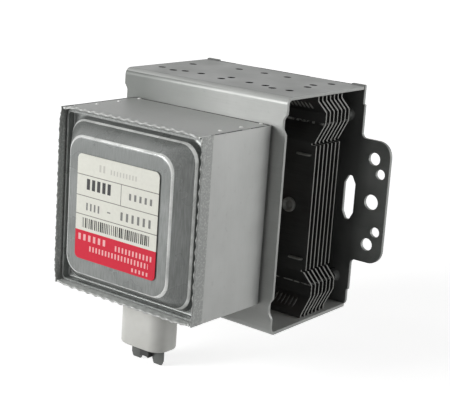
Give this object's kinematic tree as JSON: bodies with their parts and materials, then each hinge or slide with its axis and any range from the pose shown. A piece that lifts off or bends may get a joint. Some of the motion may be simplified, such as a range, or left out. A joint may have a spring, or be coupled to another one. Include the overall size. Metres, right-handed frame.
{
  "type": "magnetron",
  "caption": "Magnetron tube with cooling fins in a U-shaped steel yoke, an eared mounting plate, a capped antenna and a crimped filter box with a tab connector.",
  "frame": {"origin": "on the antenna's axis, at the outer face of the mounting plate, which seats on a waveguide", "axes": "+Y runs along the antenna and away from the filter box, +X runs across the ears, and +Z points away from the connector"},
  "size_m": [0.1094, 0.1179, 0.1072],
  "materials": {
    "copper": "bare copper, satin",
    "zinc_steel": "zinc-plated sheet steel, satin",
    "cover_steel": "drawn sheet steel, finely brushed",
    "plate_steel": "plated sheet steel, dull",
    "fin_aluminium": "mill finish",
    "ferrite": "fired ferrite, matte",
    "refractory_metal": "drawn wire and turned metal, dull",
    "ceramic": "fired ceramic, smooth",
    "gasket_mesh": "woven wire",
    "shroud_plastic": "off-white moulding",
    "insulator_plastic": "dark moulding",
    "potting_resin": "cast resin",
    "label_film": "printed film"
  },
  "bodies": {
    "root": {"anode_cylinder": "copper", "anode_vane_1": "copper", "anode_vane_2": "copper", "anode_vane_3": "copper", "anode_vane_4": "copper", "anode_vane_5": "copper", "anode_vane_6": "copper", "anode_vane_7": "copper", "anode_vane_8": "copper", "anode_vane_9": "copper", "anode_vane_10": "copper", "strap_ring_input_inner": "copper", "strap_ring_input_outer": "copper", "strap_ring_output_inner": "copper", "strap_ring_output_outer": "copper", "antenna_lead": "copper", "exhaust_tube": "copper", "choke_coil_left": "copper", "choke_coil_right": "copper", "pole_piece_input": "zinc_steel", "pole_piece_output": "zinc_steel", "seal_sleeve_input": "zinc_steel", "seal_sleeve_output": "zinc_steel", "antenna_cap": "zinc_steel", "gasket_seat": "zinc_steel", "yoke_bracket": "zinc_steel", "filter_box": "zinc_steel", "stem_lug_left": "zinc_steel", "stem_lug_right": "zinc_steel", "capacitor_flange": "zinc_steel", "terminal_left": "zinc_steel", "terminal_right": "zinc_steel", "filter_cover": "cover_steel", "mounting_plate": "plate_steel", "cooling_fin_1": "fin_aluminium", "cooling_fin_2": "fin_aluminium", "cooling_fin_3": "fin_aluminium", "cooling_fin_4": "fin_aluminium", "cooling_fin_5": "fin_aluminium", "cooling_fin_6": "fin_aluminium", "cooling_fin_7": "fin_aluminium", "magnet_input": "ferrite", "magnet_output": "ferrite", "choke_core_left": "ferrite", "choke_core_right": "ferrite", "cathode_filament": "refractory_metal", "cathode_centre_lead": "refractory_metal", "cathode_side_lead": "refractory_metal", "end_hat_input": "refractory_metal", "end_hat_output": "refractory_metal", "stem_ceramic": "ceramic", "antenna_ceramic": "ceramic", "lead_spacer": "ceramic", "rf_gasket": "gasket_mesh", "connector_shroud": "shroud_plastic", "terminal_insulator": "insulator_plastic", "capacitor_body": "potting_resin", "data_label": "label_film"}
  },
  "joints": []
}
